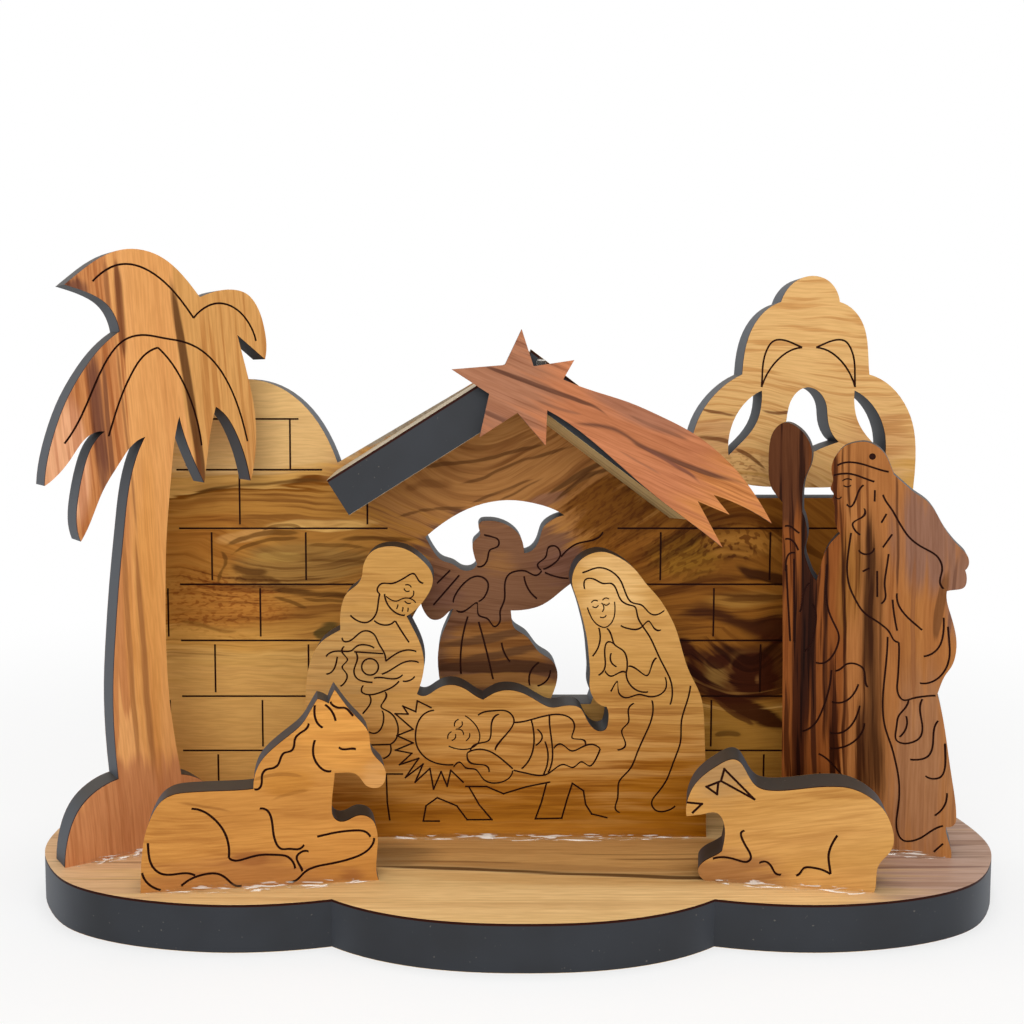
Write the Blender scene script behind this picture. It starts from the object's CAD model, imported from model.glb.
# Looks of the wooden nativity stable: olive wood boards with charred cut edges, burnt lines and clear glue.
import math
from typing import NamedTuple

import bmesh
import bpy
from mathutils import Euler, Matrix, Vector, noise


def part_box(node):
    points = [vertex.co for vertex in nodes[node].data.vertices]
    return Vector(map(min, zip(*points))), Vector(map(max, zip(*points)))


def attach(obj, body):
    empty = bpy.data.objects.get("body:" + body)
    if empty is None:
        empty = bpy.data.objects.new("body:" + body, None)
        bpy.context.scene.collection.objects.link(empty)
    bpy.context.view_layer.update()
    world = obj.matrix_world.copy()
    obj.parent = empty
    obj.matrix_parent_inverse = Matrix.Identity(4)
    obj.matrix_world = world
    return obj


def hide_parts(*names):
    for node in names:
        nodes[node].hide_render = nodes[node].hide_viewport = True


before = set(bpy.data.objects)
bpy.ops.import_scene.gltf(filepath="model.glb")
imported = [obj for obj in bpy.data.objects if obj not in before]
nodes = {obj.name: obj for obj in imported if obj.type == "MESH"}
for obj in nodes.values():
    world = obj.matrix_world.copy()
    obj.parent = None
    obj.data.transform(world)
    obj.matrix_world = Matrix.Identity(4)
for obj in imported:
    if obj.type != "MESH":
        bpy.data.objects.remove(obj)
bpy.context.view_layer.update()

mm = 0.001
groove_depth = 0.3 * mm
burnt_depth = 1.2 * groove_depth
face_slack = 0.03 * mm
facing_least = 0.5

# Grain: how far noise swings, how deep marks run, and how veins, bends and knots end
noise_swing = 4
mark_depth_share = 10
grain_depth_share = 4
grain_roughness = 0.55
vein_tip_share = 0.3
bend_full_share = 0.7
knot_top_share = 0.9
knot_round_share = 0.3

# Oiled wood against soot from the laser: sizes in millimetres
soot_black = "#12151b"
soot_grey = "#1a1e25"
soot_brown = "#3c342b"
soot_ash = "#4a4e55"
soot_dust = "#8d8578"
burnt_line = "#2e1109"
cloud_size = 9.0
dust_size = 0.5
fibre_run = 5.0
fibre_gap = 0.3
fibre_shade = "#d2c4ae"
fibre_relief = 0.03 * mm
fibre_strength = 0.25
fleck_run = 1.1
fleck_gap = 0.45
soot_roughness = 0.60
wood_roughness = 0.46
soot_specular = 0.50
wood_specular = 0.06
wood_ior = 1.45


def linear(hex_colour):
    """Scene colour from an sRGB hex value."""
    parts = [int(hex_colour[i:i + 2], 16) / 255 for i in (1, 3, 5)]
    return [p / 12.92 if p <= 0.04045 else ((p + 0.055) / 1.055) ** 2.4 for p in parts] + [1.0]


def per(size_mm):
    """Texture scale for a pattern of that size in millimetres."""
    return 1 / (size_mm * mm)


def add(tree, kind, settings=None, links=None):
    """One node with its settings, and for each input a value or the output to join to it."""
    made = tree.nodes.new(kind)
    for name, value in (settings or {}).items():
        setattr(made, name, value)
    for socket, value in (links or {}).items():
        if isinstance(value, bpy.types.NodeSocket):
            tree.links.new(value, made.inputs[socket])
        else:
            made.inputs[socket].default_value = value
    return made


def blank_material(name):
    """Material with only its surface shader and output, and its node tree."""
    material = bpy.data.materials.new(name)
    material.use_nodes = True
    tree = material.node_tree
    tree.nodes.clear()
    shader = add(tree, "ShaderNodeBsdfPrincipled")
    add(tree, "ShaderNodeOutputMaterial", None, {"Surface": shader.outputs[0]})
    return material, tree, shader


class Board:
    """A flat CAD board's own axes: along its face, depth behind the face, up the face."""

    def __init__(self, node):
        self.node = nodes[node]
        mesh = self.node.data
        faces = [f for f in mesh.polygons if f.normal.z - f.normal.y > facing_least]
        areas = {}
        for face in faces:
            way = face.normal.to_tuple(2)
            areas[way] = areas.get(way, 0) + face.area
        shown = max(areas, key=areas.get)
        widest = max((f for f in faces if f.normal.to_tuple(2) == shown), key=lambda f: f.area)
        depth = -widest.normal
        upright = abs(depth.z) < facing_least
        along = depth.cross(Vector((0, 0, 1)) if upright else Vector((0, 1, 0))).normalized()
        self.axes = Matrix((along, depth, along.cross(depth))).transposed()
        own = [self.axes.transposed() @ v.co for v in mesh.vertices]
        self.low = Vector([min(p[i] for p in own) for i in range(3)])
        self.size = Vector([max(p[i] for p in own) for i in range(3)]) - self.low
        self.corner = self.axes @ self.low
        self.turn = self.axes.to_euler()


class Tone(NamedTuple):
    """A stretch of wood in another colour: an oval on the face, placed and sized in shares of the board."""

    spot_shares: tuple
    half_shares: tuple
    colour: str
    lean: float = 0.0
    start: float = 0.1
    full: float = 0.5
    strength: float = 1.0


class Vein(NamedTuple):
    """A growth line: a curve through points in shares of the board, with its half width in millimetres."""

    point_shares: tuple
    half: float
    colour: str
    strength: float = 0.85
    upright: bool = False


class Knot(NamedTuple):
    """A place that the growth lines bend round, in shares of the board, and its lift in millimetres."""

    spot_shares: tuple
    half_shares: tuple
    lift: float
    lean: float = 0.0


class Bend(NamedTuple):
    """A stretch where the grain turns to another fall, in shares of the board and degrees."""

    spot_shares: tuple
    half_shares: tuple
    fall: float
    lean: float = 0.0


def soft_oval(tree, place, board, mark):
    """One in the middle of a mark on the board's face and zero past its rim."""
    spot = (mark.spot_shares[0] * board.size.x, 0, mark.spot_shares[1] * board.size.z)
    reach = (mark.half_shares[0] * board.size.x, mark_depth_share * board.size.y,
             mark.half_shares[1] * board.size.z)
    own = add(tree, "ShaderNodeMapping", {"vector_type": "TEXTURE"}, {
        "Vector": place, "Location": spot, "Rotation": (0, math.radians(mark.lean), 0), "Scale": reach})
    fade = add(tree, "ShaderNodeTexGradient", {"gradient_type": "SPHERICAL"}, {"Vector": own.outputs[0]})
    return fade.outputs["Fac"]


def growth_line(tree, place, board, vein):
    """One along the middle of a vein and zero past its sides and its two thin ends."""
    shares = add(tree, "ShaderNodeMapping", None, {
        "Vector": place, "Scale": (1 / board.size.x, 1, 1 / board.size.z)})
    parts = add(tree, "ShaderNodeSeparateXYZ", None, {0: shares.outputs[0]})
    run, rise, reach = parts.outputs[0], parts.outputs[2], board.size.z
    points = list(vein.point_shares)
    if vein.upright:
        run, rise, reach = parts.outputs[2], parts.outputs[0], board.size.x
        points = [(up, along) for along, up in points]
    path = add(tree, "ShaderNodeFloatCurve", None, {"Value": run})
    curve = path.mapping.curves[0]
    curve.points[0].location = points[0]
    curve.points[1].location = points[-1]
    for point in points[1:-1]:
        curve.points.new(*point)
    path.mapping.update()
    gap = add(tree, "ShaderNodeMath", {"operation": "SUBTRACT"}, {0: rise, 1: path.outputs[0]})
    far = add(tree, "ShaderNodeMath", {"operation": "ABSOLUTE"}, {0: gap.outputs[0]})
    near = add(tree, "ShaderNodeMapRange", None, {
        "Value": far.outputs[0], "From Min": vein.half * mm / reach, "From Max": 0.0}).outputs[0]
    start, end = points[0][0], points[-1][0]
    thinning = vein_tip_share * (end - start)
    for tip, body in ((start, start + thinning), (end, end - thinning)):
        fade = add(tree, "ShaderNodeMapRange", {"interpolation_type": "SMOOTHSTEP"}, {
            "Value": run, "From Min": tip, "From Max": body})
        near = add(tree, "ShaderNodeMath", {"operation": "MULTIPLY"}, {
            0: near, 1: fade.outputs[0]}).outputs[0]
    return near


def wandering(tree, place, size, reach):
    """The place shifted along the face by a slow noise, so that straight marks wander as grain does."""
    drift = add(tree, "ShaderNodeTexNoise", None, {"Vector": place, "Scale": per(size), "Detail": 3.0})
    centred = add(tree, "ShaderNodeVectorMath", {"operation": "SUBTRACT"}, {
        0: drift.outputs["Color"], 1: (0.5, 0.5, 0.5)})
    moved = add(tree, "ShaderNodeVectorMath", {"operation": "MULTIPLY_ADD"}, {
        0: centred.outputs[0], 1: (noise_swing * reach * mm, 0, noise_swing * reach * mm), 2: place})
    return moved.outputs[0]


def drawn_grain(tree, field, run, gap, detail):
    """Noise drawn out along the grain, with marks so long and so far apart, in millimetres."""
    drawn = add(tree, "ShaderNodeMapping", None, {
        "Vector": field, "Scale": (per(run), per(gap * grain_depth_share), per(gap))})
    marks = add(tree, "ShaderNodeTexNoise", None, {
        "Vector": drawn.outputs[0], "Scale": 1.0, "Detail": detail, "Roughness": grain_roughness})
    return marks.outputs["Fac"]


def stain(tree, under, pattern, start, full, strength, tone, way="MIX"):
    """Lays a tone over a colour where a pattern climbs from start to full."""
    share = add(tree, "ShaderNodeMapRange", {"interpolation_type": "SMOOTHSTEP"}, {
        "Value": pattern, "From Min": start, "From Max": full, "To Max": strength})
    return add(tree, "ShaderNodeMix", {"data_type": "RGBA", "blend_type": way}, {
        0: share.outputs[0], 6: under, 7: tone}).outputs[2]


def growth_field(tree, moved, board, grain_fall, bends, knots):
    """Coordinates along and across the grain, which turns in each bend and closes round each knot."""
    main = Euler((0, math.radians(grain_fall), 0))
    turned = add(tree, "ShaderNodeMapping", {"vector_type": "TEXTURE"}, {"Vector": moved, "Rotation": main})
    parts = add(tree, "ShaderNodeSeparateXYZ", None, {0: turned.outputs[0]})
    across = parts.outputs[2]
    for bend in bends:
        spot = Vector((bend.spot_shares[0] * board.size.x, 0, bend.spot_shares[1] * board.size.z))
        level = (main.to_matrix().transposed() @ spot).z
        near = add(tree, "ShaderNodeMapRange", {"interpolation_type": "SMOOTHSTEP"}, {
            "Value": soft_oval(tree, moved, board, bend), "From Max": bend_full_share})
        local = add(tree, "ShaderNodeMapping", {"vector_type": "TEXTURE"}, {
            "Vector": moved, "Location": spot, "Rotation": (0, math.radians(bend.fall), 0)})
        height = add(tree, "ShaderNodeSeparateXYZ", None, {0: local.outputs[0]})
        lifted = add(tree, "ShaderNodeMath", {"operation": "ADD"}, {0: height.outputs[2], 1: level})
        across = add(tree, "ShaderNodeMix", {"data_type": "FLOAT"}, {
            0: near.outputs[0], 2: across, 3: lifted.outputs[0]}).outputs[0]
    for knot in knots:
        near = soft_oval(tree, moved, board, knot)
        dome = add(tree, "ShaderNodeMath", {"operation": "SMOOTH_MIN"}, {
            0: near, 1: knot_top_share, 2: knot_round_share})
        across = add(tree, "ShaderNodeMath", {"operation": "MULTIPLY_ADD"}, {
            0: dome.outputs[0], 1: knot.lift * mm, 2: across}).outputs[0]
    return add(tree, "ShaderNodeCombineXYZ", None, {
        0: parts.outputs[0], 1: parts.outputs[1], 2: across}).outputs[0]


def laser_char(tree, coords, own, board, wood):
    """Wood on both flat faces, burnt lines in it, and soot on cut edges, browner on top and ashen aside."""
    depth = add(tree, "ShaderNodeSeparateXYZ", None, {0: own}).outputs[1]
    front = add(tree, "ShaderNodeMath", {"operation": "COMPARE"}, {
        0: depth, 1: 0.0, 2: face_slack}).outputs[0]
    back = add(tree, "ShaderNodeMath", {"operation": "COMPARE"}, {
        0: depth, 1: board.size.y, 2: face_slack}).outputs[0]
    face = add(tree, "ShaderNodeMath", {"operation": "MAXIMUM"}, {0: front, 1: back}).outputs[0]
    cloud = add(tree, "ShaderNodeTexNoise", None, {"Vector": own, "Scale": per(cloud_size), "Detail": 2.0})
    soot = stain(tree, linear(soot_black), cloud.outputs["Fac"], 0.30, 0.70, 1.0, linear(soot_grey))
    facing = add(tree, "ShaderNodeSeparateXYZ", None, {0: coords.outputs["Normal"]})
    soot = stain(tree, soot, facing.outputs[2], 0.25, 0.95, 0.8, linear(soot_brown))
    aside = add(tree, "ShaderNodeMath", {"operation": "ABSOLUTE"}, {0: facing.outputs[0]})
    soot = stain(tree, soot, aside.outputs[0], 0.40, 1.0, 0.9, linear(soot_ash))
    dust = add(tree, "ShaderNodeTexNoise", None, {"Vector": own, "Scale": per(dust_size), "Detail": 1.0})
    soot = stain(tree, soot, dust.outputs["Fac"], 0.74, 0.82, 0.30, linear(soot_dust))
    line_floor = add(tree, "ShaderNodeMath", {"operation": "LESS_THAN"}, {0: depth, 1: burnt_depth})
    soot = stain(tree, soot, line_floor.outputs[0], 0.0, 1.0, 1.0, linear(burnt_line))
    dull = add(tree, "ShaderNodeMath", {"operation": "MAXIMUM"}, {
        0: face, 1: line_floor.outputs[0]}).outputs[0]
    return stain(tree, soot, face, 0.0, 1.0, 1.0, wood), dull


def feathered(tree, moved, board, mark, fray):
    """A mark's oval with its rim drawn out along the grain."""
    near = soft_oval(tree, moved, board, mark)
    return add(tree, "ShaderNodeMath", {"operation": "MULTIPLY"}, {0: near, 1: fray}).outputs[0]


def toned(tree, colour, moved, board, marks, fray):
    """The colour with each mark's own colour laid over it."""
    for mark in marks:
        near = feathered(tree, moved, board, mark, fray)
        colour = stain(tree, colour, near, mark.start, mark.full, mark.strength, linear(mark.colour))
    return colour


def olive_wood(name, board, pale, warm, streak, tones=(), over=(), veins=(), strands=(), flecks=(),
               bends=(), knots=(), grain_fall=0.0, run=50.0, streak_gap=2.2, streak_strength=0.6,
               line_strength=0.3, wander=0.7, wander_size=26.0):
    """Oiled olive wood, cut by laser: brown figure on honey-coloured satin wood, with sooty edges."""
    material, tree, shader = blank_material(name)
    coords = add(tree, "ShaderNodeTexCoord")
    own = add(tree, "ShaderNodeMapping", {"vector_type": "TEXTURE"}, {
        "Vector": coords.outputs["Object"], "Location": board.corner, "Rotation": board.turn}).outputs[0]
    moved = wandering(tree, own, wander_size, wander)
    field = growth_field(tree, moved, board, grain_fall, bends, knots)

    bands = drawn_grain(tree, field, 3 * run, 4 * streak_gap, 2.0)
    zones = drawn_grain(tree, field, 2 * run, 6 * streak_gap, 1.0)
    streaks = drawn_grain(tree, field, run, streak_gap, 3.0)
    threads = drawn_grain(tree, field, run / 2, streak_gap / 2, 2.0)
    lines = drawn_grain(tree, field, run / 2, streak_gap / 4, 2.0)
    specks = drawn_grain(tree, field, fleck_run, fleck_gap, 1.0)
    fibres = drawn_grain(tree, field, fibre_run, fibre_gap, 2.0)
    fray = add(tree, "ShaderNodeMapRange", {"interpolation_type": "SMOOTHSTEP"}, {
        "Value": streaks, "From Min": 0.35, "From Max": 0.65, "To Min": 0.55, "To Max": 1.45}).outputs[0]

    colour = stain(tree, linear(warm), bands, 0.40, 0.60, 1.0, linear(pale))
    colour = toned(tree, colour, moved, board, tones, fray)
    for pattern, full, strength in ((streaks, 0.60, streak_strength), (lines, 0.64, line_strength)):
        shown = add(tree, "ShaderNodeMapRange", {"interpolation_type": "SMOOTHSTEP"}, {
            "Value": zones, "From Min": 0.38, "From Max": 0.60, "To Min": 0.2 * strength, "To Max": strength})
        colour = stain(tree, colour, pattern, 0.50, full, shown.outputs[0], linear(streak), "MULTIPLY")
    colour = toned(tree, colour, moved, board, over, fray)
    for vein in veins:
        near = growth_line(tree, moved, board, vein)
        near = add(tree, "ShaderNodeMath", {"operation": "MULTIPLY"}, {0: near, 1: fray}).outputs[0]
        colour = stain(tree, colour, near, 0.1, 0.6, vein.strength, linear(vein.colour))
    for marks, pattern in ((strands, threads), (flecks, specks)):
        for tone in marks:
            near = feathered(tree, moved, board, tone, fray)
            shown = add(tree, "ShaderNodeMapRange", {"interpolation_type": "SMOOTHSTEP"}, {
                "Value": near, "From Min": tone.start, "From Max": tone.full, "To Max": tone.strength})
            colour = stain(
                tree, colour, pattern, 0.50, 0.60, shown.outputs[0], linear(tone.colour), "MULTIPLY")
    colour = stain(tree, colour, fibres, 0.62, 0.38, 0.3, linear(fibre_shade), "MULTIPLY")

    finish, dull = laser_char(tree, coords, own, board, colour)
    tree.links.new(finish, shader.inputs["Base Color"])
    for socket, on_soot, on_wood in (
            ("Roughness", soot_roughness, wood_roughness),
            ("Specular IOR Level", soot_specular, wood_specular)):
        share = add(tree, "ShaderNodeMapRange", None, {"Value": dull, "To Min": on_soot, "To Max": on_wood})
        tree.links.new(share.outputs[0], shader.inputs[socket])
    raised = add(tree, "ShaderNodeMath", {"operation": "MULTIPLY"}, {0: dull, 1: fibre_strength})
    relief = add(tree, "ShaderNodeBump", None, {
        "Strength": raised.outputs[0], "Distance": fibre_relief, "Height": fibres})
    tree.links.new(relief.outputs[0], shader.inputs["Normal"])
    shader.inputs["IOR"].default_value = wood_ior
    board.node.data.materials[0] = material


# Base: pale with one long dark streak before the family, pinkish stripes at both ends
base = Board("base_plate")
olive_wood(
    "olive_base", base, "#f4cd90", "#e8c184", "#b89e7c", run=110, streak_gap=2.2, streak_strength=0.45,
    line_strength=0.25, wander=0.5, wander_size=34, tones=(
        Tone((0.97, 0.45), (0.22, 0.85), "#bd9c8e", full=0.6, strength=0.9),
        Tone((0.03, 0.45), (0.19, 0.75), "#e0b68c", full=0.6, strength=0.8),
        Tone((0.57, 0.48), (0.36, 0.19), "#cc9c5e", lean=6.0, full=0.3, strength=0.95),
    ), over=(
        Tone((0.50, 0.285), (0.28, 0.060), "#cf9f60", lean=6.0, full=0.6, strength=0.6),
        Tone((0.545, 0.345), (0.25, 0.050), "#b08450", lean=6.0, full=0.5, strength=0.65),
        Tone((0.36, 0.455), (0.085, 0.120), "#7c5e3a", full=0.7, strength=0.7),
    ), veins=(
        Vein(((0.30, 0.380), (0.45, 0.345), (0.60, 0.305), (0.78, 0.255)), 0.9, "#5a3c20", 0.92),
        Vein(((0.34, 0.410), (0.42, 0.402), (0.52, 0.392)), 0.45, "#93693c", 0.7),
        Vein(((0.57, 0.425), (0.66, 0.418), (0.76, 0.420)), 0.5, "#8a6236", 0.8),
        Vein(((0.52, 0.465), (0.64, 0.452), (0.75, 0.462)), 0.4, "#96703f", 0.7),
        Vein(((0.80, 0.345), (0.90, 0.358), (1.0, 0.372)), 0.6, "#8a6858", 0.8),
        Vein(((0.80, 0.505), (0.90, 0.518), (1.0, 0.530)), 0.7, "#8e6c5c", 0.8),
        Vein(((0.84, 0.425), (0.92, 0.432), (1.0, 0.440)), 0.35, "#96725e", 0.7),
        Vein(((0.0, 0.405), (0.07, 0.400), (0.18, 0.392)), 0.5, "#a5825c", 0.7),
        Vein(((0.01, 0.285), (0.10, 0.280), (0.22, 0.275)), 0.45, "#b08a60", 0.6),
    ))

# Back wall: pale lobe, golden band with a swirl, sweeping gable, dark knot on the right, calm pale tower
wall = Board("back_wall")
olive_wood(
    "olive_wall", wall, "#dcab60", "#cf9c52", "#9a7034", run=34, streak_gap=1.8, streak_strength=0.5,
    line_strength=0.35, wander=0.9, wander_size=20, tones=(
        Tone((0.28, 0.475), (0.474, 0.176), "#7e490d", full=0.13),
        Tone((0.28, 0.473), (0.470, 0.169), "#b37c36", full=0.14),
        Tone((0.06, 0.50), (0.10, 0.11), "#aa6a26", full=0.7, strength=0.7),
        Tone((0.08, 0.385), (0.13, 0.08), "#ba7a32", full=0.6, strength=0.9),
        Tone((0.19, 0.470), (0.13, 0.055), "#94703a", lean=-6.0, full=0.5, strength=0.7),
        Tone((0.13, 0.332), (0.33, 0.036), "#cf9749", full=0.4, strength=0.9),
        Tone((0.47, 0.68), (0.28, 0.25), "#ae7943", full=0.3),
        Tone((0.47, 0.74), (0.15, 0.08), "#c89155", lean=-16.0, full=0.7, strength=0.7),
        Tone((0.80, 0.43), (0.30, 0.28), "#935c1f", full=0.25),
        Tone((0.78, 0.08), (0.19, 0.16), "#b07e34", full=0.4),
        Tone((0.60, 0.575), (0.09, 0.09), "#7e4d16", full=0.5),
        Tone((0.70, 0.485), (0.070, 0.060), "#99691f", full=0.6, strength=0.9),
        Tone((0.775, 0.505), (0.070, 0.038), "#bb7f34", full=0.6, strength=0.8),
        Tone((0.775, 0.402), (0.070, 0.024), "#b07e38", full=0.7, strength=0.8),
        Tone((0.78, 0.27), (0.13, 0.072), "#572f12", full=0.4),
        Tone((0.45, 0.40), (0.15, 0.22), "#825a40", full=0.22),
        Tone((0.452, 0.468), (0.038, 0.038), "#9c6c3c", full=0.8, strength=0.7),
        Tone((0.375, 0.415), (0.044, 0.055), "#7d5645", full=0.6, strength=0.7),
        Tone((0.535, 0.470), (0.050, 0.055), "#80594a", full=0.6, strength=0.7),
        Tone((0.45, 0.31), (0.095, 0.060), "#a06c38", full=0.4),
    ), over=(
        Tone((0.10, 0.81), (0.33, 0.205), "#e4bb7f", full=0.25, strength=0.75),
        Tone((0.12, 0.14), (0.28, 0.19), "#e0ac62", full=0.4, strength=0.7),
        Tone((0.225, 0.546), (0.090, 0.014), "#dcab61", lean=-3.0, full=0.5, strength=0.9),
        Tone((0.118, 0.520), (0.050, 0.015), "#c89250", lean=-10.0, full=0.5, strength=0.9),
        Tone((0.160, 0.480), (0.050, 0.014), "#b08844", lean=-4.0, full=0.6, strength=0.8),
        Tone((0.228, 0.336), (0.026, 0.030), "#5d4a22", full=0.3, strength=0.92),
        Tone((0.515, 0.592), (0.040, 0.018), "#8d634e", lean=-20.0, full=0.6, strength=0.7),
        Tone((0.818, 0.350), (0.055, 0.036), "#3d1607", full=0.4, strength=0.95),
        Tone((0.742, 0.262), (0.026, 0.046), "#9a7238", lean=-20.0, full=0.6, strength=0.75),
        Tone((0.786, 0.262), (0.045, 0.066), "#8d5f2e", lean=-28.0, full=0.4, strength=0.45),
        Tone((0.794, 0.262), (0.041, 0.058), "#3d1607", lean=-28.0, full=0.3, strength=0.95),
        Tone((0.800, 0.256), (0.006, 0.014), "#a5703c", full=0.9, strength=0.6),
        Tone((0.746, 0.292), (0.022, 0.018), "#3d1607", full=0.4, strength=0.9),
        Tone((0.44, 0.328), (0.085, 0.012), "#5e3d26", lean=-10.0, full=0.5, strength=0.8),
        Tone((0.46, 0.298), (0.085, 0.011), "#5e3d26", lean=-8.0, full=0.5, strength=0.8),
        Tone((0.455, 0.272), (0.105, 0.015), "#4e301e", full=0.4, strength=0.9),
        Tone((0.45, 0.247), (0.100, 0.017), "#a4703a", full=0.4, strength=0.8),
        Tone((0.86, 0.83), (0.26, 0.265), "#e0b274", full=0.2, strength=0.9),
        Tone((0.735, 0.705), (0.060, 0.060), "#cb9a68", full=0.7, strength=0.8),
        Tone((0.95, 0.70), (0.070, 0.11), "#d09d66", full=0.8, strength=0.7),
    ), veins=(
        Vein(((0.021, 0.591), (0.076, 0.609), (0.142, 0.619), (0.25, 0.628)), 0.5, "#5e3a10", 0.8),
        Vein(((0.138, 0.525), (0.157, 0.539), (0.178, 0.542), (0.200, 0.533)), 0.35, "#6a4214", 0.7),
        Vein(((0.082, 0.490), (0.092, 0.501), (0.111, 0.512), (0.136, 0.523), (0.200, 0.527)),
             0.55, "#6a4214", 0.8),
        Vein(((0.090, 0.474), (0.111, 0.493), (0.129, 0.505), (0.149, 0.512), (0.200, 0.518)),
             0.42, "#6a4214", 0.8),
        Vein(((0.079, 0.430), (0.086, 0.455), (0.094, 0.473), (0.084, 0.503)), 0.5, "#6a4214", 0.75, True),
        Vein(((0.092, 0.466), (0.118, 0.456), (0.155, 0.453)), 0.9, "#5d3812", 0.85),
        Vein(((0.100, 0.440), (0.139, 0.443), (0.172, 0.431)), 0.75, "#664016", 0.8),
        Vein(((0.19, 0.502), (0.23, 0.512), (0.29, 0.500)), 0.4, "#6f4718", 0.7),
        Vein(((0.19, 0.478), (0.23, 0.482), (0.29, 0.476)), 0.35, "#6f4718", 0.6),
        Vein(((0.138, 0.427), (0.171, 0.420), (0.213, 0.414), (0.290, 0.405)), 0.8, "#5f3a12", 0.9),
        Vein(((0.146, 0.413), (0.173, 0.401), (0.200, 0.386)), 0.45, "#6f4718", 0.8),
        Vein(((0.176, 0.415), (0.209, 0.402), (0.275, 0.398)), 0.4, "#6f4718", 0.75),
        Vein(((0.016, 0.365), (0.054, 0.357), (0.086, 0.348), (0.125, 0.352)), 0.5, "#8a5a22", 0.7),
        Vein(((0.23, 0.520), (0.27, 0.523), (0.308, 0.518), (0.360, 0.512)), 0.5, "#6a4214", 0.75),
        Vein(((0.335, 0.642), (0.387, 0.652), (0.439, 0.668), (0.472, 0.682), (0.540, 0.704)),
             0.42, "#6e4622"),
        Vein(((0.385, 0.614), (0.429, 0.631), (0.460, 0.652), (0.504, 0.674), (0.580, 0.703)),
             0.42, "#6e4622"),
        Vein(((0.325, 0.607), (0.356, 0.617), (0.377, 0.621), (0.410, 0.617)), 0.9, "#85552a", 0.7),
        Vein(((0.405, 0.578), (0.457, 0.610), (0.510, 0.638)), 0.34, "#704824", 0.8),
        Vein(((0.442, 0.582), (0.480, 0.610), (0.524, 0.645)), 0.38, "#6e4622", 0.85),
        Vein(((0.508, 0.594), (0.543, 0.628), (0.561, 0.641), (0.615, 0.678)), 0.6, "#5c3a1a"),
        Vein(((0.515, 0.574), (0.548, 0.618), (0.569, 0.636), (0.625, 0.660)), 0.55, "#5c3a1a"),
        Vein(((0.305, 0.555), (0.348, 0.567), (0.377, 0.573), (0.430, 0.582)), 0.4, "#704824", 0.8),
        Vein(((0.756, 0.478), (0.781, 0.452), (0.802, 0.445), (0.850, 0.420)), 1.3, "#42200a", 0.95),
        Vein(((0.670, 0.362), (0.714, 0.386), (0.745, 0.380), (0.788, 0.357), (0.860, 0.350)),
             1.9, "#47220b", 0.95),
        Vein(((0.752, 0.218), (0.722, 0.262), (0.706, 0.305), (0.690, 0.360)), 2.0, "#3d1607", 0.95, True),
        Vein(((0.712, 0.266), (0.747, 0.230), (0.785, 0.196), (0.850, 0.150)), 2.4, "#3d1607", 0.95),
        Vein(((0.236, 0.655), (0.324, 0.724), (0.480, 0.849)), 1.0, "#9a9182", 0.9),
        Vein(((0.740, 0.222), (0.764, 0.192), (0.800, 0.160)), 0.7, "#5a3214", 0.85),
        Vein(((0.738, 0.147), (0.758, 0.149), (0.780, 0.146)), 0.6, "#6f4a1c", 0.8),
        Vein(((0.708, 0.762), (0.735, 0.750), (0.772, 0.743)), 0.38, "#744524"),
        Vein(((0.790, 0.756), (0.814, 0.747), (0.846, 0.751)), 0.34, "#744524"),
        Vein(((0.702, 0.702), (0.736, 0.704), (0.766, 0.688)), 0.5, "#744524"),
        Vein(((0.756, 0.687), (0.786, 0.667), (0.812, 0.639)), 0.45, "#744524"),
    ), strands=(
        Tone((0.22, 0.47), (0.22, 0.16), "#8a5a24", full=0.4, strength=0.3),
        Tone((0.47, 0.66), (0.26, 0.22), "#8c6238", full=0.4, strength=0.2),
        Tone((0.76, 0.40), (0.16, 0.22), "#744818", full=0.4, strength=0.5),
        Tone((0.86, 0.83), (0.24, 0.25), "#d2b088", full=0.4, strength=0.5),
    ), flecks=(
        Tone((0.08, 0.40), (0.14, 0.11), "#a87044", full=0.8, strength=0.55),
        Tone((0.775, 0.510), (0.085, 0.055), "#7d4a20", full=0.8, strength=0.7),
        Tone((0.60, 0.565), (0.09, 0.10), "#8c5c30", full=0.4, strength=0.35),
        Tone((0.70, 0.49), (0.08, 0.07), "#a8824c", full=0.5, strength=0.5),
        Tone((0.77, 0.645), (0.065, 0.050), "#a06a3a", full=0.8, strength=0.5),
    ), bends=(
        Bend((0.60, 0.62), (0.36, 0.30), -34.0),
    ), knots=(
        Knot((0.17, 0.476), (0.14, 0.08), 4.0, lean=-6.0),
        Knot((0.79, 0.265), (0.09, 0.10), 6.0),
    ))

# Roof boards: greyish pale top on the left one, paler underside on the right one, dark cut edges
olive_wood("olive_roof_left", Board("roof_board_left"), "#c6b79c", "#b8a88c", "#b39a78", run=40)
olive_wood("olive_roof_right", Board("roof_board_right"), "#e6d09c", "#dcc38c", "#b39a78", run=40)

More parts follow.
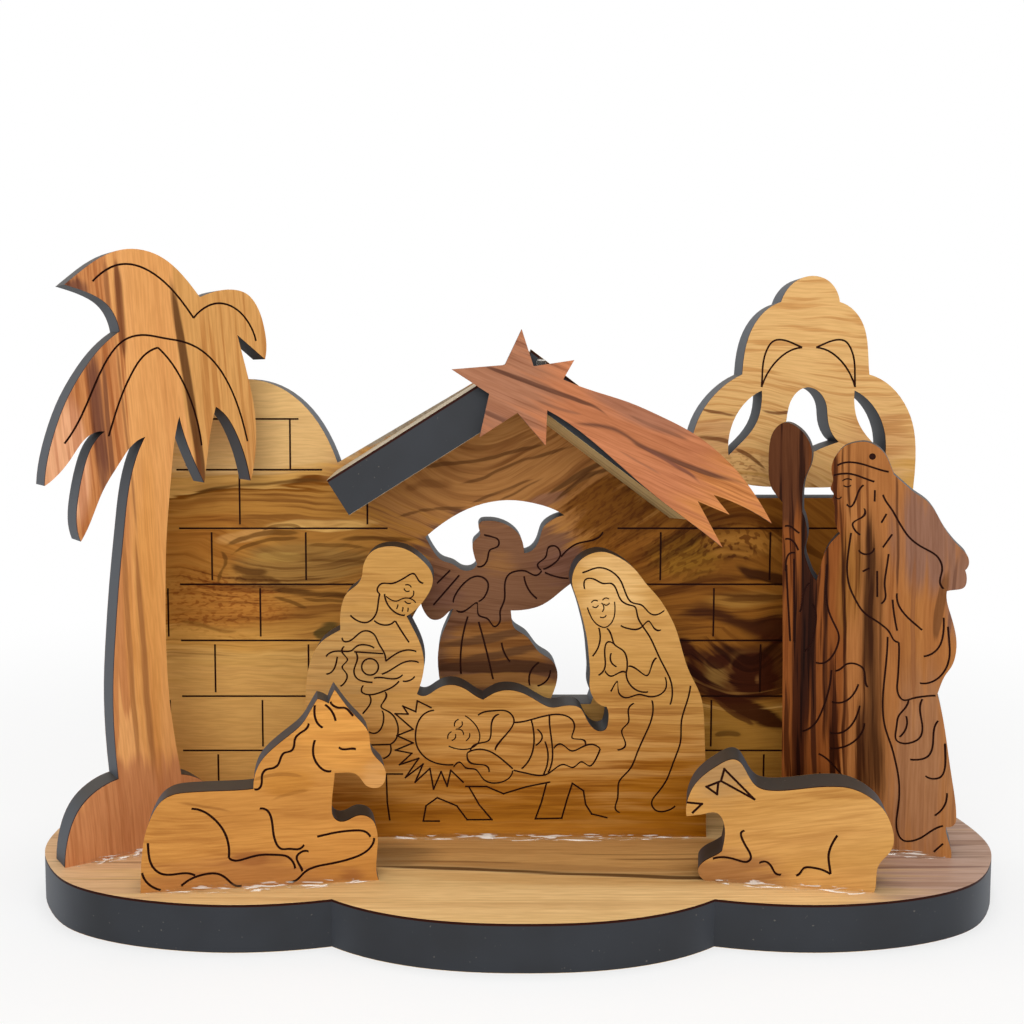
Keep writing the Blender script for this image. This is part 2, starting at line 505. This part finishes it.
# Comet: reddish brown, with thin dark lines along the tail
comet = Board("comet_star")
olive_wood(
    "olive_comet", comet, "#c47d55", "#b4704a", "#a37a60", run=36, streak_gap=1.5, streak_strength=0.35,
    line_strength=0.35, grain_fall=23.0, wander=0.5, tones=(
        Tone((0.15, 0.75), (0.26, 0.44), "#a97356", full=0.6),
        Tone((0.88, 0.20), (0.26, 0.34), "#cf884f", full=0.7),
        Tone((0.58, 0.625), (0.24, 0.070), "#9f6a52", lean=20.0, full=0.5, strength=0.8),
    ), veins=(
        Vein(((0.060, 0.850), (0.200, 0.785), (0.276, 0.742), (0.394, 0.681), (0.450, 0.648), (0.520, 0.540)),
             0.48, "#5d3a2c", 0.88),
        Vein(((0.300, 0.576), (0.492, 0.554), (0.534, 0.529), (0.576, 0.487), (0.687, 0.416), (0.806, 0.349),
              (1.0, 0.262)), 0.62, "#5d3a2c", 0.88),
        Vein(((0.560, 0.500), (0.701, 0.380), (0.750, 0.339), (0.815, 0.240)), 0.45, "#74483a", 0.8),
        Vein(((0.080, 0.642), (0.159, 0.595), (0.220, 0.560)), 0.55, "#6b4536", 0.8),
        Vein(((0.240, 0.690), (0.340, 0.640), (0.430, 0.610)), 0.35, "#80543f", 0.6),
        Vein(((0.520, 0.640), (0.640, 0.560), (0.760, 0.500)), 0.35, "#80543f", 0.6),
        Vein(((0.500, 0.470), (0.580, 0.400), (0.680, 0.320)), 0.30, "#8a5c46", 0.5),
    ))

# Family: honey wood that deepens toward the foot, with brown streaks low down
family = Board("family_group")
olive_wood(
    "olive_family", family, "#dcab67", "#cc9c57", "#b08a54", run=28, streak_gap=1.3, streak_strength=0.24,
    line_strength=0.3, wander=0.5, tones=(
        Tone((0.5, 0.0), (1.2, 0.62), "#a86a1e", start=-0.4, full=1.2),
        Tone((0.42, 0.46), (0.22, 0.08), "#b07c3a", full=0.6, strength=0.7),
        Tone((0.5, 0.0), (1.0, 0.27), "#a0661a", start=0.0, full=0.75),
        Tone((0.10, 0.60), (0.20, 0.28), "#bd9358", full=0.7, strength=0.9),
        Tone((0.76, 0.88), (0.13, 0.20), "#e4b878", full=0.6, strength=0.9),
        Tone((0.92, 0.10), (0.22, 0.35), "#a4660e", full=0.7, strength=0.8),
    ), over=(
        Tone((0.52, 0.03), (0.55, 0.045), "#bb7c2c", full=0.6, strength=0.55),
    ), strands=(
        Tone((0.40, 0.18), (0.60, 0.30), "#8f6026", full=0.5, strength=0.2),
        Tone((0.85, 0.30), (0.25, 0.35), "#a87434", full=0.5, strength=0.22),
    ))

# Donkey: calm honey wood with a few darker dashes, a paler head and a browner foot
donkey = Board("donkey")
olive_wood(
    "olive_donkey", donkey, "#cd9048", "#c08440", "#b48c5c", run=24, streak_gap=1.6, streak_strength=0.25,
    line_strength=0.18, wander=0.7, tones=(
        Tone((0.80, 0.80), (0.24, 0.30), "#da9a4c", full=0.6, strength=0.9),
        Tone((0.96, 0.54), (0.10, 0.14), "#d09a5c", full=0.6, strength=0.8),
        Tone((0.60, 0.54), (0.15, 0.12), "#bd7f34", full=0.7, strength=0.7),
        Tone((0.35, 0.02), (0.65, 0.20), "#b27840", full=0.6),
    ), over=(
        Tone((0.44, 0.145), (0.10, 0.060), "#92582e", lean=8.0, full=0.7, strength=0.55),
        Tone((0.86, 0.045), (0.09, 0.050), "#8e5630", full=0.7, strength=0.6),
    ), veins=(
        Vein(((0.12, 0.472), (0.26, 0.441), (0.40, 0.385)), 0.4, "#8f5a28", 0.7),
        Vein(((0.43, 0.548), (0.55, 0.584), (0.68, 0.556)), 0.35, "#98622a", 0.6),
        Vein(((0.50, 0.440), (0.60, 0.478), (0.70, 0.492)), 0.35, "#98622a", 0.5),
    ), strands=(
        Tone((0.20, 0.30), (0.30, 0.30), "#a8763c", full=0.5, strength=0.2),
    ))

# Sheep: calm honey wood, softly streaked along the back
sheep = Board("sheep")
olive_wood(
    "olive_sheep", sheep, "#d29e5a", "#c6924e", "#b8925e", run=26, streak_gap=1.6, streak_strength=0.32,
    line_strength=0.2, grain_fall=-9.0, wander=0.6, tones=(
        Tone((0.20, 0.05), (0.40, 0.32), "#a87645", full=0.6),
        Tone((0.16, 0.84), (0.26, 0.30), "#b08857", full=0.6),
    ), strands=(
        Tone((0.60, 0.62), (0.45, 0.24), "#b28848", full=0.5, strength=0.18),
    ))

# Palm: orange wood, redder on the left and browner on the right, with a few long dark upright stripes
palm = Board("palm_tree")
olive_wood(
    "olive_palm", palm, "#ecac6c", "#e09f5e", "#bb8d62", run=80, streak_gap=1.8, streak_strength=0.25,
    line_strength=0.25, grain_fall=-94.0, wander=0.4, wander_size=34, tones=(
        Tone((0.98, 0.75), (0.41, 0.55), "#d49c5a", lean=-9.0, full=0.16, strength=0.9),
        Tone((0.0, 0.78), (0.41, 0.70), "#c8844f", lean=-6.0, full=0.14, strength=0.95),
        Tone((0.03, 0.66), (0.17, 0.18), "#da9c70", full=0.6),
        Tone((0.42, 0.0), (0.70, 0.20), "#ca8858", full=0.25),
        Tone((0.44, 0.42), (0.14, 0.36), "#d8954e", full=0.5, strength=0.8),
    ), over=(
        Tone((0.07, 0.65), (0.15, 0.14), "#eaad82", full=0.5, strength=0.9),
        Tone((0.115, 0.925), (0.115, 0.034), "#6b4034", lean=-24.0, full=0.4, strength=0.85),
    ), veins=(
        Vein(((0.720, 0.54), (0.622, 0.80), (0.540, 1.0)), 0.85, "#5f3a1d", 0.92, True),
        Vein(((0.744, 0.44), (0.700, 0.56), (0.650, 0.70)), 0.6, "#7a4a28", 0.8, True),
        Vein(((0.250, 0.58), (0.222, 0.735), (0.195, 0.88)), 1.3, "#673c30", 0.9, True),
        Vein(((0.300, 0.52), (0.272, 0.690), (0.245, 0.86)), 0.45, "#7a4a32", 0.85, True),
        Vein(((0.278, 0.45), (0.250, 0.570), (0.225, 0.69)), 0.8, "#7a4c38", 0.85, True),
        Vein(((0.350, 0.80), (0.328, 0.930), (0.315, 1.0)), 0.85, "#7d4a2c", 0.9, True),
        Vein(((0.296, 0.83), (0.280, 0.930), (0.268, 1.0)), 0.5, "#96603a", 0.75, True),
        Vein(((0.400, 0.47), (0.345, 0.70), (0.290, 0.93)), 0.4, "#8a5634", 0.75, True),
        Vein(((0.440, 0.06), (0.405, 0.33), (0.370, 0.60)), 0.75, "#9a6236", 0.8, True),
        Vein(((0.375, 0.10), (0.345, 0.36), (0.315, 0.62)), 0.5, "#a0683a", 0.7, True),
    ), strands=(
        Tone((0.20, 0.75), (0.22, 0.40), "#b0784c", full=0.4, strength=0.45),
        Tone((0.85, 0.70), (0.25, 0.35), "#c09058", full=0.4, strength=0.4),
    ))

# Wise men: upright columns from near-black brown to orange
wise = Board("wise_men_group")
olive_wood(
    "olive_wise_men", wise, "#b67a42", "#a86c3a", "#a07450", run=45, streak_gap=1.5, streak_strength=0.55,
    line_strength=0.4, grain_fall=-91.0, wander=0.45, tones=(
        Tone((0.80, 0.18), (0.27, 0.36), "#a6744e", full=0.7),
        Tone((0.80, 0.75), (0.24, 0.18), "#8e6550", full=0.6),
        Tone((0.96, 0.62), (0.10, 0.15), "#8f6650", full=0.6),
        Tone((0.15, 0.42), (0.32, 0.90), "#8a4e22", full=0.25),
        Tone((0.188, 0.36), (0.062, 0.50), "#3a1808", full=0.35, strength=0.95),
        Tone((0.09, 0.92), (0.18, 0.20), "#5c341c", full=0.3),
        Tone((0.43, 0.63), (0.10, 0.18), "#94602a", full=0.5, strength=0.9),
    ), over=(
        Tone((0.872, 0.59), (0.030, 0.10), "#6f4526", lean=6.0, full=0.4, strength=0.8),
    ), veins=(
        Vein(((0.590, 0.0), (0.572, 0.20), (0.548, 0.45), (0.515, 0.88)), 2.5, "#45260f", 0.94, True),
        Vein(((0.530, 0.0), (0.522, 0.20), (0.510, 0.42)), 1.6, "#4c2a12", 0.9, True),
        Vein(((0.663, 0.58), (0.655, 0.76), (0.645, 0.94)), 0.3, "#5c3520", 0.85, True),
        Vein(((0.212, 0.20), (0.200, 0.56), (0.188, 0.90)), 0.8, "#2e140a", 0.9, True),
        Vein(((0.278, 0.0), (0.255, 0.40), (0.232, 0.80)), 0.55, "#3a1a0c", 0.9, True),
        Vein(((0.342, 0.18), (0.315, 0.50), (0.288, 0.82)), 0.6, "#4a250f", 0.9, True),
        Vein(((0.368, 0.0), (0.355, 0.22), (0.338, 0.56)), 0.65, "#55290f", 0.9, True),
        Vein(((0.062, 0.0), (0.060, 0.40), (0.055, 0.90)), 0.35, "#47200d", 0.8, True),
        Vein(((0.758, 0.30), (0.745, 0.52), (0.735, 0.74)), 0.4, "#8a5634", 0.7, True),
        Vein(((0.912, 0.47), (0.925, 0.60), (0.938, 0.73)), 0.35, "#6f4a3a", 0.7, True),
    ), strands=(
        Tone((0.20, 0.45), (0.30, 0.95), "#542a0e", full=0.3, strength=0.75),
        Tone((0.48, 0.45), (0.16, 0.55), "#8a5a34", full=0.4, strength=0.6),
    ))


# Glue beads: lumpy, swept thin at both ends, with sizes in millimetres
bead_sides = 20
bead_rings = 150
drop_subdivisions = 4
lump_size = 2.2
lump_share = 0.30
ripple_size = 0.7
ripple_share = 0.08
glint_sizes = (3.6, 0.8, 0.17)
film_alpha = 0.07
glint_alpha = 0.75
glue_tint = "#c9ad84"
glue_milk = "#fbf6ec"
glue_roughness = 0.12
glue_ior = 1.48


def clear_glue():
    """Set hot-melt glue: a clear wet film with thin milky ridges, so it glints in short lines."""
    material, tree, shader = blank_material("clear_glue")
    coords = add(tree, "ShaderNodeTexCoord")
    drawn = add(tree, "ShaderNodeMapping", None, {
        "Vector": coords.outputs["Object"], "Scale": [per(size) for size in glint_sizes]})
    milk = add(tree, "ShaderNodeTexNoise", None, {"Vector": drawn.outputs[0], "Scale": 1.0, "Detail": 1.0})
    alpha = add(tree, "ShaderNodeMapRange", {"interpolation_type": "SMOOTHSTEP"}, {
        "Value": milk.outputs["Fac"], "From Min": 0.53, "From Max": 0.64,
        "To Min": film_alpha, "To Max": glint_alpha})
    tree.links.new(alpha.outputs[0], shader.inputs["Alpha"])
    tint = stain(tree, linear(glue_tint), milk.outputs["Fac"], 0.48, 0.62, 1.0, linear(glue_milk))
    tree.links.new(tint, shader.inputs["Base Color"])
    shader.inputs["IOR"].default_value = glue_ior
    shader.inputs["Roughness"].default_value = glue_roughness
    return material


def shown_piece(name, shape, material, node):
    """A finished mesh that stands for a CAD node."""
    mesh = bpy.data.meshes.new(name)
    shape.to_mesh(mesh)
    shape.free()
    mesh.shade_smooth()
    mesh.materials.append(material)
    piece = bpy.data.objects.new(name, mesh)
    bpy.context.scene.collection.objects.link(piece)
    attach(piece, "root")
    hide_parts(node)


def lumpy(shape, axis_free):
    """Swells and thins a glue shape by a fixed noise, leaving one axis alone if asked."""
    for vert in shape.verts:
        swell = 1 + lump_share * noise.noise(vert.co * per(lump_size))
        swell += ripple_share * noise.noise(vert.co * per(ripple_size))
        along = vert.co.x
        vert.co *= swell
        if axis_free:
            vert.co.x = along


def foot_glue(node, board, material):
    """A bead squeezed out along the front foot of a board."""
    own = [board.axes.transposed() @ v.co for v in nodes[node].data.vertices]
    low = Vector([min(p[i] for p in own) for i in range(3)])
    high = Vector([max(p[i] for p in own) for i in range(3)])
    shape = bmesh.new()
    bmesh.ops.create_uvsphere(shape, u_segments=bead_sides, v_segments=bead_rings, radius=1.0)
    bmesh.ops.rotate(shape, matrix=Matrix.Rotation(math.pi / 2, 3, "Y"), verts=shape.verts)
    size = high - low
    bmesh.ops.scale(shape, vec=(size.x / 2, size.y, size.z), verts=shape.verts)
    lumpy(shape, True)
    foot = Vector(((low.x + high.x) / 2, high.y, low.z))
    place = Matrix.Translation(board.axes @ foot) @ board.axes.to_4x4()
    bmesh.ops.transform(shape, matrix=place, verts=shape.verts)
    shown_piece(node + "_bead", shape, material, node)


def ridge_glue(node, material):
    """A drop caught between the comet and the ridge."""
    low, high = (Vector(c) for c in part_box(node))
    shape = bmesh.new()
    bmesh.ops.create_icosphere(shape, subdivisions=drop_subdivisions, radius=(high.x - low.x) / 2)
    lumpy(shape, False)
    bmesh.ops.translate(shape, vec=(low + high) / 2, verts=shape.verts)
    shown_piece(node + "_drop", shape, material, node)


glue = clear_glue()
for glue_node, glued in (("glue_family", family), ("glue_donkey", donkey), ("glue_sheep", sheep),
                         ("glue_palm", palm), ("glue_wise_men", wise)):
    foot_glue(glue_node, glued, glue)
ridge_glue("glue_ridge", glue)


# Stage in metres and watts: pale floor, white surround for the camera, soft light
floor_half = 3.0
floor_near = 0.07
floor_far = 0.25
floor_white_share = 0.6
floor_roughness = 0.9
card_white = "#fbfbfa"
pure_white = "#ffffff"
surround_light = 0.28
lamp_aim = Vector((0, 0, 40 * mm))
lamps = (
    ("key_softbox", (-0.10, -0.60, 0.30), 0.45, 2.4),
    ("fill_softbox", (0.40, -0.50, 0.20), 0.40, 0.65),
    ("top_softbox", (0.0, 0.05, 0.60), 0.40, 1.7),
)
lens = 44.30
sensor = 36.0
lens_shift = (0.0449, -0.0250)
near_clip = 5 * mm
eye = Vector((-7.293, -173.6, 71.64)) * mm
pitch_angle = 4.6


def seen_directly(tree):
    """One for what the camera, a reflection or a view through glue sees, zero for light on the object."""
    rays = add(tree, "ShaderNodeLightPath")
    seen = rays.outputs["Is Camera Ray"]
    for kind in ("Is Glossy Ray", "Is Transmission Ray"):
        seen = add(tree, "ShaderNodeMath", {"operation": "MAXIMUM"}, {
            0: seen, 1: rays.outputs[kind]}).outputs[0]
    return seen


def pale_floor():
    """Matt white card: keeps the shadow near the object and fades to plain white far from it."""
    mesh = bpy.data.meshes.new("floor")
    shape = bmesh.new()
    bmesh.ops.create_grid(shape, x_segments=1, y_segments=1, size=floor_half)
    shape.to_mesh(mesh)
    shape.free()
    floor = bpy.data.objects.new("floor", mesh)
    bpy.context.scene.collection.objects.link(floor)
    material, tree, shader = blank_material("white_card")
    shader.inputs["Base Color"].default_value = linear(card_white)
    shader.inputs["Roughness"].default_value = floor_roughness
    coords = add(tree, "ShaderNodeTexCoord")
    far = add(tree, "ShaderNodeVectorMath", {"operation": "LENGTH"}, {0: coords.outputs["Object"]})
    fade = add(tree, "ShaderNodeMapRange", {"interpolation_type": "SMOOTHSTEP"}, {
        "Value": far.outputs["Value"], "From Min": floor_near, "From Max": floor_far,
        "To Min": floor_white_share, "To Max": 1.0})
    share = add(tree, "ShaderNodeMath", {"operation": "MULTIPLY"}, {
        0: fade.outputs[0], 1: seen_directly(tree)})
    white = add(tree, "ShaderNodeEmission", None, {"Color": linear(pure_white), "Strength": 1.0})
    both = add(tree, "ShaderNodeMixShader", None, {
        0: share.outputs[0], 1: shader.outputs[0], 2: white.outputs[0]})
    output = next(n for n in tree.nodes if n.bl_idname == "ShaderNodeOutputMaterial")
    tree.links.new(both.outputs[0], output.inputs["Surface"])
    mesh.materials.append(material)


def white_surround():
    """Even soft light from all round, and plain white behind the object."""
    world = bpy.data.worlds.new("surround")
    bpy.context.scene.world = world
    world.use_nodes = True
    tree = world.node_tree
    tree.nodes.clear()
    strength = add(tree, "ShaderNodeMapRange", None, {
        "Value": seen_directly(tree), "To Min": surround_light, "To Max": 1.0})
    back = add(tree, "ShaderNodeBackground", None, {
        "Color": linear(pure_white), "Strength": strength.outputs[0]})
    add(tree, "ShaderNodeOutputWorld", None, {"Surface": back.outputs[0]})


def softboxes():
    """A large key lamp in front, a fill from the right and a top lamp."""
    for name, place, size, power in lamps:
        lamp = bpy.data.lights.new(name, "AREA")
        lamp.size = size
        lamp.energy = power
        holder = bpy.data.objects.new(name, lamp)
        bpy.context.scene.collection.objects.link(holder)
        holder.location = place
        holder.rotation_euler = (lamp_aim - Vector(place)).to_track_quat("-Z", "Y").to_euler()


def photo_camera():
    """The camera of the photograph: in front, a little to the left, looking slightly down."""
    camera = bpy.data.cameras.new("camera")
    camera.lens = lens
    camera.sensor_width = sensor
    camera.shift_x, camera.shift_y = lens_shift
    camera.clip_start = near_clip
    viewer = bpy.data.objects.new("camera", camera)
    bpy.context.scene.collection.objects.link(viewer)
    viewer.location = eye
    viewer.rotation_euler = (math.radians(90 - pitch_angle), 0, 0)
    bpy.context.scene.camera = viewer


pale_floor()
white_surround()
softboxes()
photo_camera()
bpy.context.scene.view_settings.view_transform = "Standard"
